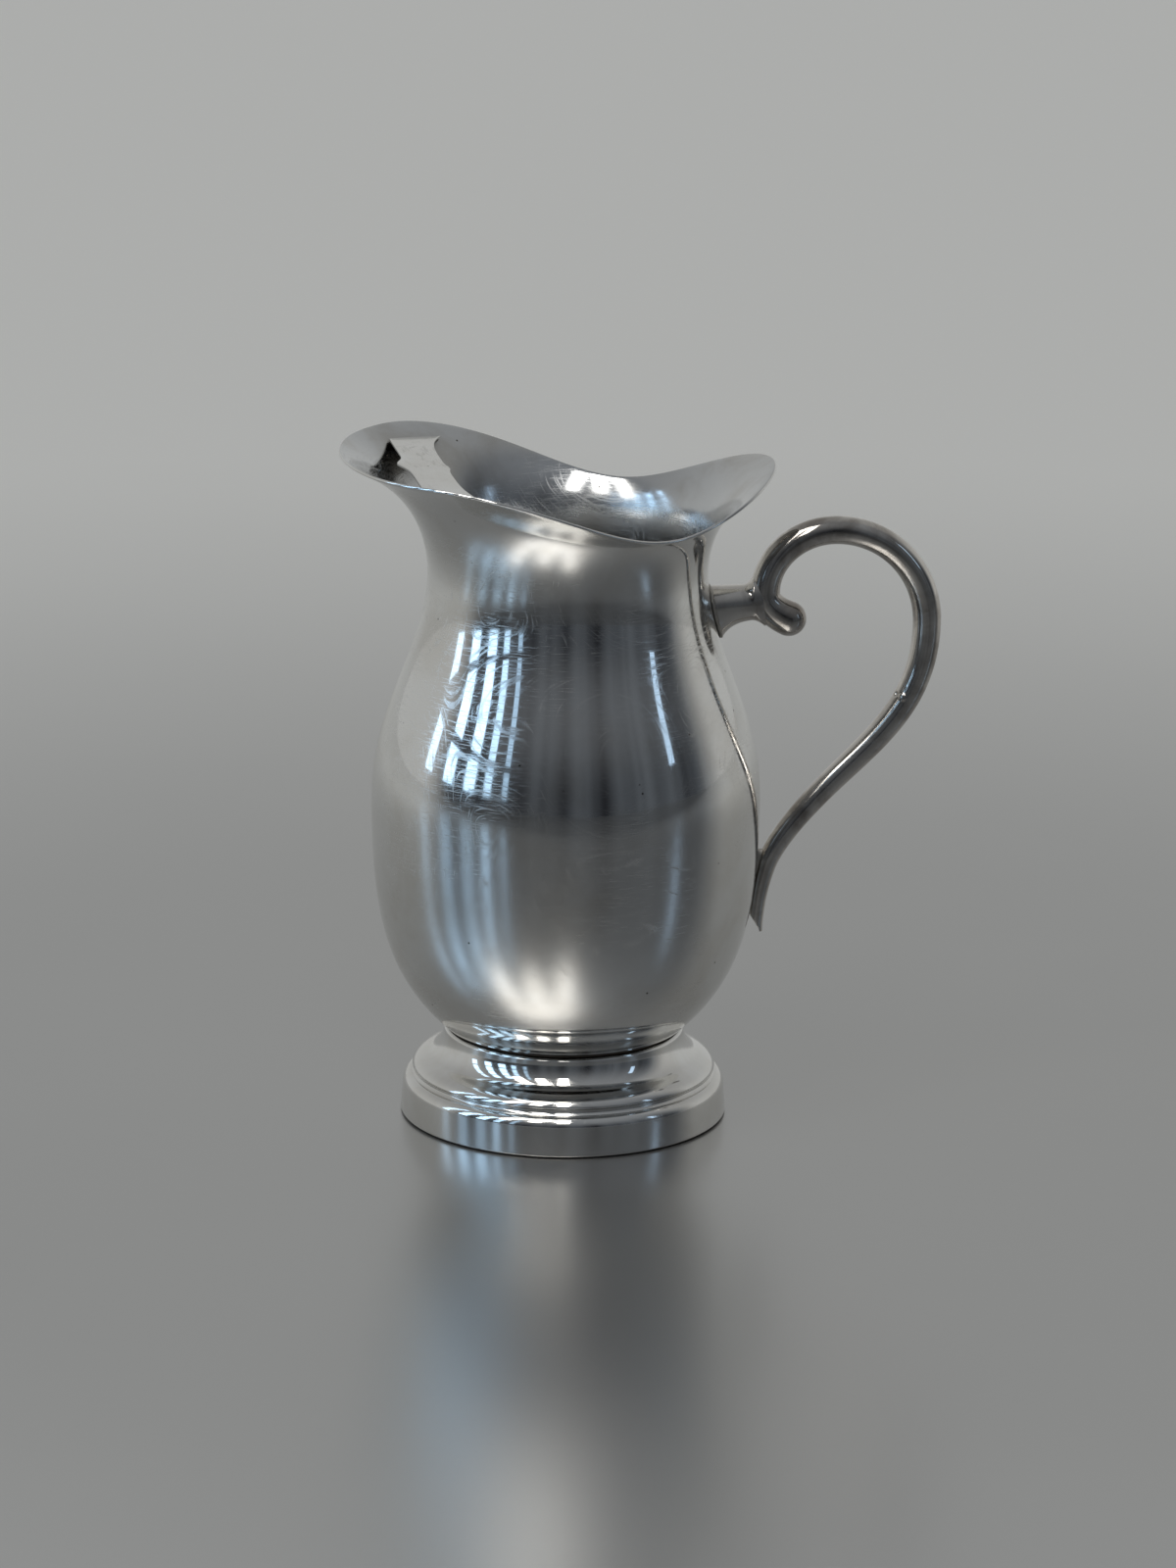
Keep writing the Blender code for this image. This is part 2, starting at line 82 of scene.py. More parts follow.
def raise_rings(name, outline, fill, inside):
    """A circle drawn up ring by ring, extruded and scaled to each (radius, height), as in spinning."""
    bpy.ops.object.select_all(action="DESELECT")
    radius, height = outline[0]
    bpy.ops.mesh.primitive_circle_add(
        vertices=round_facets, radius=radius, fill_type=fill, location=(axis_x, 0, height))
    piece = bpy.context.object
    piece.name = name
    bpy.ops.object.transform_apply(location=True, rotation=True, scale=True)
    bpy.ops.object.mode_set(mode="EDIT")
    bpy.ops.mesh.select_mode(type="EDGE")
    bpy.ops.mesh.select_all(action="SELECT")
    if fill != "NOTHING":
        bpy.ops.mesh.select_all(action="DESELECT")
        bpy.ops.mesh.select_non_manifold()
    for next_radius, next_height in outline[1:]:
        bpy.ops.mesh.extrude_edges_move(TRANSFORM_OT_translate={"value": (0, 0, next_height - height)})
        grow = next_radius / radius
        bpy.ops.transform.resize(value=(grow, grow, 1), center_override=(axis_x, 0, next_height))
        radius, height = next_radius, next_height
    bpy.ops.mesh.select_all(action="SELECT")
    bpy.ops.mesh.remove_doubles(threshold=ring_merge)
    bpy.ops.mesh.normals_make_consistent(inside=inside)
    bpy.ops.object.mode_set(mode="OBJECT")
    return piece


def thicken(piece, wall, side, inner_material=0):
    """Give a surface the wall of its sheet, all inwards (side -1) or half to each side (side 0)."""
    sheet = piece.modifiers.new("sheet", "SOLIDIFY")
    sheet.thickness = wall
    sheet.offset = side
    sheet.use_even_offset = side != 0
    sheet.material_offset = inner_material
    bpy.ops.object.modifier_apply(modifier=sheet.name)


def round_edges(piece, name, width, segments, turn, smooth):
    """Round the edges that turn by more than one angle, then shade smooth up to another, in degrees."""
    rounding = piece.modifiers.new(name, "BEVEL")
    rounding.width = width
    rounding.segments = segments
    rounding.limit_method = "ANGLE"
    rounding.angle_limit = math.radians(turn)
    bpy.ops.object.modifier_apply(modifier=rounding.name)
    bpy.ops.object.shade_smooth_by_angle(angle=math.radians(smooth))


flare_spread = flare_radius - foot_top_radius
flare_fall = foot_height - flare_height
dome_spread = dome_radius - flare_radius
groove_radius = dome_radius - groove_depth
groove_top = dome_height - groove_depth
band_shoulder = groove_top - groove_width
foot_outline = [(foot_top_bore, foot_height), (foot_top_radius - foot_wall, foot_height)]
foot_outline += curve_points(
    (foot_top_radius, foot_height - foot_wall),
    (foot_top_radius, foot_height - flare_fall / 2),
    (flare_radius - flare_spread / 2, flare_height + flare_slope * flare_spread / 2),
    (flare_radius, flare_height),
    moulding_steps,
)
foot_outline += curve_points(
    (flare_radius, flare_height),
    (flare_radius + dome_spread / 2, flare_height - flare_slope * dome_spread / 2),
    (dome_radius - dome_spread / 8, (flare_height + dome_height) / 2),
    (dome_radius, dome_height),
    moulding_steps,
)[1:]
foot_outline += [(groove_radius, groove_top), (groove_radius, groove_top - groove_width / 2)]
foot_outline += curve_points(
    (dome_radius, band_shoulder),
    (dome_radius + (band_top_radius - dome_radius) * quarter_arc, band_shoulder),
    (band_top_radius, band_height + (band_shoulder - band_height) * (1 - quarter_arc)),
    (band_top_radius, band_height),
    moulding_steps,
)
foot_outline += [(foot_radius, hem_round), (foot_radius - hem_round, 0), (foot_radius - hem_width, 0)]
foot = raise_rings("spun_foot", foot_outline, fill="NOTHING", inside=False)
thicken(foot, foot_wall, side=-1)
bpy.ops.object.mode_set(mode="EDIT")
bpy.ops.mesh.select_all(action="SELECT")
bpy.ops.mesh.remove_doubles(threshold=hem_fold)
bpy.ops.object.mode_set(mode="OBJECT")
round_edges(foot, "worn_edges", foot_edge_round, segments=3, turn=24, smooth=50)


def linear(hex_colour):
    """An sRGB hex value as linear RGBA."""
    channels = [int(hex_colour[i:i + 2], 16) / 255 for i in (0, 2, 4)]
    return [c / 12.92 if c <= 0.04045 else ((c + 0.055) / 1.055) ** 2.4 for c in channels] + [1]


def add_node(tree, kind, settings, inputs):
    """A node with its settings, and with a value or another node's output on each input named."""
    node = tree.nodes.new(kind)
    for name, value in settings.items():
        setattr(node, name, value)
    for name, value in inputs.items():
        if isinstance(value, bpy.types.NodeSocket):
            tree.links.new(value, node.inputs[name])
        else:
            node.inputs[name].default_value = value
    return node


def start_material(name):
    """A new material, its node tree, its shader, and the Object coordinates that its patterns read."""
    material = bpy.data.materials.new(name)
    material.use_nodes = True
    tree = material.node_tree
    place = add_node(tree, "ShaderNodeTexCoord", {}, {}).outputs["Object"]
    return material, tree, tree.nodes["Principled BSDF"], place


# Bright electroplated silver, buffed: a near mirror with a soft haze round each highlight, from the fine
# lines and swirls of many polishings, faint warm patches, a few pits, and brown tarnish where a cloth
# can't reach; where the darkening in recesses is given a long reach, it is painted shade instead. Real
# polishing lines are about 0.02 mm wide and wouldn't show, so the lines are drawn 0.2 mm wide and the
# swirls 0.45 mm apart.
line_length = 0.0070
line_width = 0.00022
line_depth = 0.0000002
swirl_size = 0.0550
swirl_length = 0.0080
swirl_spacing = 0.00045
wear_size = 0.0500
least_wear = 0.35
pit_spacing = 0.0070
pit_rarity = 0.72
dent_size = 0.0450
dent_depth = 0.0002
# colour and strength of the darkening in recesses: brown tarnish, and painted shade where the reach is
# long
tarnish_and_shade_colour = "4a453f"
tarnish_and_shade_strength = 0.90
tarnish_dulling = 0.15
eased = {"interpolation_type": "SMOOTHSTEP"}
in_colour = {"data_type": "RGBA"}


def silver_plate(name, clean, toned, toning, patch_size, smooth, dull, haze, recess):
    """Plate from its clean colour, the colour and strength of its toned patches and their size, the
    roughness outside and inside a patch, the haze of its polishing lines, and the reach of the darkening
    in recesses: brown tarnish in a small hollow, and painted shade where the reach is long."""
    material, tree, shader, place = start_material(name)
    patch = add_node(tree, "ShaderNodeTexNoise", {}, {
        "Vector": place, "Scale": 1 / patch_size, "Detail": 5, "Roughness": 0.6,
        "Distortion": 0.4}).outputs["Fac"]
    patch = add_node(tree, "ShaderNodeMapRange", eased, {
        "Value": patch, "From Min": 0.38, "From Max": 0.68}).outputs["Result"]
    line_run = add_node(tree, "ShaderNodeMapping", {}, {
        "Vector": place, "Scale": (1 / line_length, 1 / line_length, 1 / line_width)}).outputs["Vector"]
    lines = add_node(tree, "ShaderNodeTexNoise", {}, {
        "Vector": line_run, "Scale": 1, "Detail": 1}).outputs["Fac"]
    away = add_node(tree, "ShaderNodeTexVoronoi", {"feature": "SMOOTH_F1"}, {
        "Vector": place, "Scale": 1 / swirl_size, "Smoothness": 0.3}).outputs["Distance"]
    away = add_node(tree, "ShaderNodeMath", {"operation": "MULTIPLY"}, {
        0: away, 1: swirl_size / swirl_spacing}).outputs[0]
    away = add_node(tree, "ShaderNodeCombineXYZ", {}, {"X": away}).outputs["Vector"]
    swirl_run = add_node(tree, "ShaderNodeVectorMath", {"operation": "MULTIPLY_ADD"}, {
        0: place, 1: (1 / swirl_length,) * 3, 2: away}).outputs["Vector"]
    swirls = add_node(tree, "ShaderNodeTexNoise", {}, {
        "Vector": swirl_run, "Scale": 1, "Detail": 2}).outputs["Fac"]
    scored = add_node(tree, "ShaderNodeMath", {"operation": "MAXIMUM"}, {
        0: lines, 1: swirls}).outputs[0]
    scored = add_node(tree, "ShaderNodeMapRange", eased, {
        "Value": scored, "From Min": 0.50, "From Max": 0.72}).outputs["Result"]
    worn = add_node(tree, "ShaderNodeTexNoise", {}, {
        "Vector": place, "Scale": 1 / wear_size, "Detail": 2, "Distortion": 0.6}).outputs["Fac"]
    worn = add_node(tree, "ShaderNodeMapRange", eased, {
        "Value": worn, "From Min": 0.40, "From Max": 0.62,
        "To Min": least_wear * haze, "To Max": haze}).outputs["Result"]
    pit = add_node(tree, "ShaderNodeTexVoronoi", {}, {"Vector": place, "Scale": 1 / pit_spacing})
    pit_kept = add_node(tree, "ShaderNodeMath", {"operation": "GREATER_THAN"}, {
        0: pit.outputs["Color"], 1: pit_rarity}).outputs[0]
    pits = add_node(tree, "ShaderNodeMapRange", {}, {
        "Value": pit.outputs["Distance"], "From Min": 0.03, "From Max": 0.07,
        "To Min": 1, "To Max": 0}).outputs["Result"]
    pits = add_node(tree, "ShaderNodeMath", {"operation": "MULTIPLY"}, {0: pits, 1: pit_kept}).outputs[0]
    # darkening where nearby surfaces close in: tarnish in small hollows, painted shade with a long reach
    open_air = add_node(tree, "ShaderNodeAmbientOcclusion", {"samples": 6}, {
        "Distance": recess}).outputs["AO"]
    tarnish_and_shade = add_node(tree, "ShaderNodeMapRange", eased, {
        "Value": open_air, "From Min": 0.25, "From Max": 0.80,
        "To Min": tarnish_and_shade_strength, "To Max": 0}).outputs["Result"]
    tarnish_and_shade = add_node(tree, "ShaderNodeMath", {"operation": "MAXIMUM"}, {
        0: tarnish_and_shade, 1: pits}).outputs[0]
    tone = add_node(tree, "ShaderNodeMath", {"operation": "MULTIPLY"}, {0: patch, 1: toning}).outputs[0]
    colour = add_node(tree, "ShaderNodeMix", in_colour, {
        0: tone, 6: linear(clean), 7: linear(toned)}).outputs[2]
    colour = add_node(tree, "ShaderNodeMix", in_colour, {
        0: tarnish_and_shade, 6: colour, 7: linear(tarnish_and_shade_colour)}).outputs[2]
    gloss = add_node(tree, "ShaderNodeMapRange", {}, {
        "Value": patch, "To Min": smooth, "To Max": dull}).outputs["Result"]
    gloss = add_node(tree, "ShaderNodeMath", {"operation": "MULTIPLY_ADD"}, {
        0: scored, 1: worn, 2: gloss}).outputs[0]
    gloss = add_node(tree, "ShaderNodeMath", {"operation": "MULTIPLY_ADD"}, {
        0: tarnish_and_shade, 1: tarnish_dulling, 2: gloss}).outputs[0]
    dents = add_node(tree, "ShaderNodeTexNoise", {}, {
        "Vector": place, "Scale": 1 / dent_size, "Detail": 0}).outputs["Fac"]
    dented = add_node(tree, "ShaderNodeBump", {}, {
        "Strength": 1, "Distance": dent_depth, "Height": dents}).outputs["Normal"]
    lined = add_node(tree, "ShaderNodeBump", {"invert": True}, {
        "Strength": 1, "Distance": line_depth, "Height": scored, "Normal": dented}).outputs["Normal"]
    shader.inputs["Metallic"].default_value = 1
    tree.links.new(colour, shader.inputs["Base Color"])
    tree.links.new(gloss, shader.inputs["Roughness"])
    tree.links.new(lined, shader.inputs["Normal"])
    return material


foot_plate = silver_plate(
    "buffed_silver_plate_foot", clean="e0e0de", toned="ccc8c0", toning=0.5, patch_size=0.035,
    smooth=0.03, dull=0.07, haze=0.16, recess=0.0025)
foot.data.materials.append(foot_plate)
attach(foot, "root")
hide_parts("foot")

# FOOT SOLDER
# The soft-solder line between the foot's flange and the seat of the vessel, blackened with age. It was
# run in by hand, so its edge is not quite even.
solder_low, solder_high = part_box("foot_solder")
solder_edge = (solder_high.x - solder_low.x) / 2
solder_belly = 0.0001
solder_unevenness = 0.004
broad_lumps = 7
fine_lumps = 17
solder_smooth = math.radians(60)
solder_outline = [
    (foot_top_bore, solder_high.z),
    (solder_edge - solder_belly, solder_high.z),
    (solder_edge, (solder_low.z + solder_high.z) / 2),
    (solder_edge - solder_belly, solder_low.z),
    (foot_top_bore, solder_low.z),
    (foot_top_bore, solder_high.z),
]
foot_solder = raise_rings("foot_solder_line", solder_outline, fill="NOTHING", inside=False)
for vertex in foot_solder.data.vertices:
    angle = math.atan2(vertex.co.y, vertex.co.x - axis_x)
    lumps = math.sin(broad_lumps * angle + 1) * math.sin(fine_lumps * angle)
    uneven = 1 + solder_unevenness * lumps - solder_unevenness
    vertex.co.x = axis_x + (vertex.co.x - axis_x) * uneven
    vertex.co.y *= uneven
bpy.ops.object.shade_smooth_by_angle(angle=solder_smooth)
# Old soft solder, gone black: a dark brown line, cloudy with grime about 3 mm across, with a dull shine.
grime_size = 0.003
blackened, grime_tree, grime_shader, grime_place = start_material("blackened_solder")
grime = add_node(grime_tree, "ShaderNodeTexNoise", {}, {
    "Vector": grime_place, "Scale": 1 / grime_size, "Detail": 4}).outputs["Fac"]
grime_colour = add_node(grime_tree, "ShaderNodeMix", in_colour, {
    0: grime, 6: linear("15120f"), 7: linear("4a4036")}).outputs[2]
grime_tree.links.new(grime_colour, grime_shader.inputs["Base Color"])
grime_shader.inputs["Metallic"].default_value = 0.6
grime_shader.inputs["Roughness"].default_value = 0.55
foot_solder.data.materials.append(blackened)
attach(foot_solder, "root")
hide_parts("foot_solder")

# VESSEL
# Bowl, neck and flared mouth, spun from one sheet and plated inside and out. The rim was cut to a wave
# that rises to the spout and to the handle, drawn out there, and its edge was smoothed.
body_wall = 0.0010
seat_radius = 0.0421
seat_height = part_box("body_shell")[0].z
seat_rings = (0.02, 0.25, 0.5, 0.75, 0.95)     # shares of the seat's radius
bowl_spread = 0.0189
bowl_lift = 0.0174
bulge_radius = 0.0670
bulge_rise = 0.0805
bulge_height = seat_height + bulge_rise
bulge_fullness_below = 0.0439
bulge_fullness_above = 0.0327
neck_radius = 0.0480
neck_rise = 0.0796
neck_height = bulge_height + neck_rise
neck_length = 0.0269
handle_lip_rise = 0.0365
side_dip_rise = 0.0208
spout_lip_rise = 0.0416
handle_lip_reach = 0.0713
side_dip_reach = 0.0550
spout_lip_reach = 0.0783
dip_angle = math.radians(60)
crest_angle = math.radians(140)
waist_angle = math.radians(65)
spread_angle = math.radians(160)
lip_curl = 0.32
rim_round = 0.00038
curve_rings = 30
mouth_rings = 26


def ease(start, end, share):
    """Cosine step from start to end."""
    share = min(max(share, 0.0), 1.0)
    return start + (end - start) * (1 - math.cos(math.pi * share)) / 2


def rim_rise(angle):
    """Height of the rim above the neck, at an angle from the handle."""
    if angle < dip_angle:
        return ease(handle_lip_rise, side_dip_rise, angle / dip_angle)
    return ease(side_dip_rise, spout_lip_rise, (angle - dip_angle) / (crest_angle - dip_angle))


def rim_reach(angle):
    """Distance of the rim from the axis, at an angle from the handle."""
    if angle < waist_angle:
        return ease(handle_lip_reach, side_dip_reach, angle / waist_angle)
    return ease(side_dip_reach, spout_lip_reach, (angle - waist_angle) / (spread_angle - waist_angle))


def mouth_radius(angle, height):
    """Outer radius of the mouth, a trumpet with a curled lip, at an angle from the handle and height."""
    share = (height - neck_height) / rim_rise(angle)
    opened = (1 - lip_curl) * share**2 + lip_curl * share**5
    return neck_radius + (rim_reach(angle) - neck_radius) * opened


vessel_outline = [(seat_radius * share, seat_height) for share in seat_rings]
vessel_outline += curve_points(
    (seat_radius, seat_height),
    (seat_radius + bowl_spread, seat_height + bowl_lift),
    (bulge_radius, bulge_height - bulge_fullness_below),
    (bulge_radius, bulge_height),
    curve_rings,
)
vessel_outline += curve_points(
    (bulge_radius, bulge_height),
    (bulge_radius, bulge_height + bulge_fullness_above),
    (neck_radius, neck_height - neck_length),
    (neck_radius, neck_height),
    curve_rings,
)[1:]
for i in range(1, mouth_rings + 1):
    height = neck_height + spout_lip_rise * i / mouth_rings
    vessel_outline.append((mouth_radius(math.pi, height), height))
vessel = raise_rings("spun_vessel", vessel_outline, fill="TRIFAN", inside=True)
for vertex in vessel.data.vertices:
    share = (vertex.co.z - neck_height) / spout_lip_rise
    if share > 0:
        across = vertex.co.x - axis_x
        angle = abs(math.atan2(vertex.co.y, across))
        height = neck_height + share * rim_rise(angle)
        stretch = mouth_radius(angle, height) / math.hypot(across, vertex.co.y)
        vertex.co = (axis_x + across * stretch, vertex.co.y * stretch, height)
vessel_plate = silver_plate(
    "buffed_silver_plate", clean="e0e0de", toned="ccc8c0", toning=0.5, patch_size=0.035,
    smooth=0.03, dull=0.08, haze=0.26, recess=0.0025)
# The same plate inside, greyer, bright at the lip, where a cloth reaches, and dull from the neck down.
# Its darkening in recesses reaches 30 mm, so the tarnish colour spreads over the inside below the lip
# and under the guard: painted shade.
dull_below = neck_height + 0.002
bright_above = neck_height + 0.026
added_dullness = 0.20
inner_plate = silver_plate(
    "dulled_silver_plate_inside_painted_shade", clean="cacccd", toned="aaa69e", toning=0.6, patch_size=0.035,
    smooth=0.07, dull=0.14, haze=0.22, recess=0.0300)
inner_tree = inner_plate.node_tree
inner_gloss = inner_tree.nodes["Principled BSDF"].inputs["Roughness"]
inner_height = add_node(inner_tree, "ShaderNodeSeparateXYZ", {}, {
    "Vector": add_node(inner_tree, "ShaderNodeTexCoord", {}, {}).outputs["Object"]}).outputs["Z"]
unreached = add_node(inner_tree, "ShaderNodeMapRange", eased, {
    "Value": inner_height, "From Min": dull_below, "From Max": bright_above,
    "To Min": added_dullness, "To Max": 0}).outputs["Result"]
inner_dulled = add_node(inner_tree, "ShaderNodeMath", {"operation": "ADD"}, {
    0: inner_gloss.links[0].from_socket, 1: unreached}).outputs[0]
inner_tree.links.new(inner_dulled, inner_gloss)
vessel.data.materials.append(vessel_plate)
vessel.data.materials.append(inner_plate)
thicken(vessel, body_wall, side=-1, inner_material=1)
round_edges(vessel, "smoothed_rim", rim_round, segments=4, turn=60, smooth=38)
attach(vessel, "root")
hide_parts("body_shell")

# ICE GUARD
# A flat plate of the same sheet, let in across the spout just below the lip to hold ice back. Its ends
# are cut to the wall and its long edges to a bracket shape, with a point in the middle of each.
guard_thickness = 0.0008
guard_drop = 0.0036
guard_tilt = math.radians(7)
guard_reach = 0.0560
guard_width = 0.0140
guard_tongue = 0.0030
guard_tongue_width = 0.0070
guard_point = 0.0010
guard_point_width = 0.0040
guard_end_flare = 0.0060
guard_half_length = 0.0400
guard_edge_round = 0.00022
guard_rows = 20
guard_columns = 96
seam_gap = 0.0003
guard_end_gap = seam_gap / 3
fitting_rounds = 12
guard_middle = guard_width / 2 - guard_reach
guard_height = neck_height + spout_lip_rise - guard_drop


def guard_plane(x):
    """Height of the plate's middle surface at a distance along X from the axis."""
    return guard_height - (x - guard_middle) * math.tan(guard_tilt)


def spout_half_width(x, height, clearance):
    """Half width of the space inside the spout at X, less a clearance to the wall."""
    step = body_wall / 10
    half = spout_lip_reach / 2
    for _ in range(fitting_rounds):
        angle = math.atan2(half, x)
        outer = mouth_radius(angle, height)
        slope = (mouth_radius(angle, height + step) - outer) / step
        half = math.sqrt((outer - body_wall * math.hypot(1, slope) - clearance) ** 2 - x**2)
    return half


bpy.ops.object.select_all(action="DESELECT")
bpy.ops.mesh.primitive_grid_add(
    x_subdivisions=guard_rows, y_subdivisions=guard_columns, size=2, location=(0, 0, 0))
guard = bpy.context.object
guard.name = "ice_guard_plate"
for vertex in guard.data.vertices:
    across, along = vertex.co.y, (vertex.co.x + 1) / 2
    off_middle = across * guard_half_length
    lip_edge = -guard_reach - guard_tongue * math.exp(-((off_middle / guard_tongue_width) ** 2))
    back_edge = guard_width - guard_reach + guard_end_flare * abs(across) ** 5
    back_edge += guard_point * math.exp(-((off_middle / guard_point_width) ** 2))
    x = lip_edge + (back_edge - lip_edge) * along
    half = spout_half_width(x, guard_plane(x) - guard_thickness, guard_end_gap)
    vertex.co = (axis_x + x, across * half, guard_plane(x))
thicken(guard, guard_thickness, side=0)
round_edges(guard, "filed_edges", guard_edge_round, segments=3, turn=50, smooth=40)
guard.data.materials.append(vessel_plate)
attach(guard, "root")
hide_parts("ice_guard")

# GUARD SOLDER
# A bead of soft solder run along the corner under each end of the ice guard, a little lumpy, and thinner
# at both ends.
bead_radius = 0.0008
bead_points = 7
bead_end_share = 0.55
bead_share = 0.9
bead_lumpiness = 0.1
bead_lump_pace = 5.0
# Soft solder as it froze: dull grey-white metal, cloudy by about 2 mm, with blurred highlights.
solder_cloud_size = 0.002
pale_solder, solder_tree, solder_shader, solder_place = start_material("soft_solder")
solder_cloud = add_node(solder_tree, "ShaderNodeTexNoise", {}, {
    "Vector": solder_place, "Scale": 1 / solder_cloud_size, "Detail": 3}).outputs["Fac"]
solder_colour = add_node(solder_tree, "ShaderNodeMix", in_colour, {
    0: solder_cloud, 6: linear("8d8880"), 7: linear("c9c6bf")}).outputs[2]
solder_tree.links.new(solder_colour, solder_shader.inputs["Base Color"])
solder_shader.inputs["Metallic"].default_value = 1
solder_shader.inputs["Roughness"].default_value = 0.38
for side, node in ((-1, "guard_solder_left"), (1, "guard_solder_right")):
    bpy.ops.object.select_all(action="DESELECT")
    bpy.ops.curve.primitive_bezier_curve_add(location=(0, 0, 0))
    bead = bpy.context.object
    bead.name = node.replace("solder", "solder_bead")
    bead.data.bevel_depth = bead_radius
    bead.data.bevel_resolution = 6
    bead.data.use_fill_caps = True
    run = bead.data.splines[0].bezier_points
    run.add(bead_points - 2)
    last = bead_points - 1
    for i, point in enumerate(run):
        x = guard_end_flare / 2 - guard_reach + (guard_width - guard_end_flare / 2) * i / last
        height = guard_plane(x) - guard_thickness / 2 - seam_gap - bead_radius
        half = spout_half_width(x, height - bead_radius, seam_gap + bead_radius)
        point.co = (axis_x + x, side * half, height)
        point.handle_left_type = "AUTO"
        point.handle_right_type = "AUTO"
        lumpy_share = bead_share + bead_lumpiness * math.sin(bead_lump_pace * i)
        point.radius = bead_end_share if i in (0, last) else lumpy_share
    bpy.ops.object.convert(target="MESH")
    bpy.ops.object.shade_smooth_by_angle(angle=solder_smooth)
    bead.data.materials.append(pale_solder)
    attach(bead, "root")
    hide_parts(node)

# SOCKET SOLDER
# The seam of soft solder between the handle's stub and the neck, squeezed out a little all round.
socket_drop = 0.0131
socket_height = neck_height - socket_drop
socket_radius = 0.0062
socket_flare_down = 0.0055
socket_flare_side = 0.0012
solder = 0.0008
solder_off_wall = seam_gap * 0.2
seam_depth = solder + seam_gap * 1.6
seam_lip = 0.0006
seam_edge_share = 0.35
seam_unevenness = 0.00012
seam_lumps = 5
tube_facets = 72


def side_radius(height):
    """Outer radius of the vessel between its seat and its neck."""
    side = vessel_outline[len(seat_rings):]
    for (lower_radius, lower), (upper_radius, upper) in zip(side, side[1:]):
        if height <= upper:
            break
    return lower_radius + (upper_radius - lower_radius) * (height - lower) / (upper - lower)


def off_side(y, z, clearance):
    """Distance along X, from the axis, of a point that stands off the vessel's side."""
    return math.sqrt((side_radius(z) + clearance) ** 2 - y**2)


def socket_section(turn, spread, lip):
    """Y and Z of a point on the stub's section, which flares towards the neck."""
    half_width = socket_radius + socket_flare_side * spread + lip
    half_height = socket_radius + (socket_flare_down * spread if math.sin(turn) < 0 else 0) + lip
    return math.cos(turn) * half_width, socket_height + math.sin(turn) * half_height


def unit_tube(name, facets, rings):
    """A capped tube of unit radius and length along X, for a pad or stub that is fitted afterwards."""
    bpy.ops.object.select_all(action="DESELECT")
    bpy.ops.mesh.primitive_circle_add(
        vertices=facets, radius=1, fill_type="TRIFAN", rotation=(math.pi / 2, 0, math.pi / 2))
    tube = bpy.context.object
    tube.name = name
    bpy.ops.object.transform_apply(location=True, rotation=True, scale=True)
    bpy.ops.object.mode_set(mode="EDIT")
    bpy.ops.mesh.select_mode(type="FACE")
    bpy.ops.mesh.select_all(action="SELECT")
    for _ in range(rings):
        bpy.ops.mesh.extrude_region_move(TRANSFORM_OT_translate={"value": (1 / rings, 0, 0)})
    bpy.ops.mesh.select_all(action="SELECT")
    bpy.ops.mesh.normals_make_consistent(inside=False)
    bpy.ops.object.mode_set(mode="OBJECT")
    return tube


socket_seam = unit_tube("handle_seam", facets=tube_facets, rings=6)
for vertex in socket_seam.data.vertices:
    share, turn = vertex.co.x, math.atan2(vertex.co.z, vertex.co.y)
    out = min(1.0, math.hypot(vertex.co.y, vertex.co.z))
    swell = math.sqrt(max(0.0, 1 - (2 * share - 1) ** 2))
    lip = seam_lip * (seam_edge_share + (1 - seam_edge_share) * swell)
    lip = (lip + seam_unevenness * math.sin(seam_lumps * turn + 0.7)) * out
    y, z = socket_section(turn, 1, lip)
    y, z = y * out, socket_height + (z - socket_height) * out
    vertex.co = (axis_x + off_side(y, z, solder_off_wall + share * seam_depth), y, z)
bpy.ops.object.shade_smooth_by_angle(angle=solder_smooth)
socket_seam.data.materials.append(pale_solder)
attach(socket_seam, "root")
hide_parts("socket_solder")

# HANDLE
# A round bar cast in one sweep: a thumb curl with a domed end, a bow, and a shank that thins to a tail
# with a slanting cut. A flared stub carries it on the neck. Plated, and now toned brown by handling.
root_out = 0.0194
root_up = 0.0030
root_radius = 0.0052
curl_out = 0.0085
curl_down = 0.0093
curl_radius = 0.0061
curl_slope = math.radians(24)
bow_out = 0.0432
bow_up = 0.0245
bow_radius = 0.0335
bow_bar_radius = 0.0049
shank_out = 0.0281
shank_up = 0.0300
shank_slope = math.radians(44)
shank_bar_radius = 0.0042
tail_drop = 0.0280
tail_height = bulge_height - tail_drop
tail_lean = math.radians(17)
tail_length = 0.0235
tail_draw = 0.0034
tail_bar_radius = 0.0034
tail_tip_radius = 0.0024
tail_cut = math.radians(30)
tail_edge_round = 0.00025
end_reach = 0.001
shank_entry_share = 0.4
shank_exit = 0.0180
tail_entry = 0.0075
bar_merge = 0.00001
dome_steps = 10
dome_merge = 0.000002
handle_smooth = math.radians(40)
root = Vector((side_radius(socket_height) + root_out, socket_height + root_up))
curl = root + Vector((curl_out, -curl_down))
bow_top = Vector((side_radius(socket_height) + bow_out, socket_height + bow_up))
bow_back = bow_top + Vector((bow_radius, -bow_radius))
shank = Vector((side_radius(tail_height) + shank_out, tail_height + shank_up))
tail_stand = (2 * seam_gap + solder + tail_bar_radius) / math.cos(tail_lean)
tail_seat = Vector((side_radius(tail_height) + tail_stand, tail_height))
tail_tip = tail_seat + Vector((-tail_draw, -tail_length))
down = Vector((0, -1))
curl_in = Vector((-math.cos(curl_slope), math.sin(curl_slope)))
shank_run = -Vector((math.cos(shank_slope), math.sin(shank_slope)))
tail_run = -Vector((math.sin(tail_lean), math.cos(tail_lean)))
bow_drop = bow_back.y - shank.y
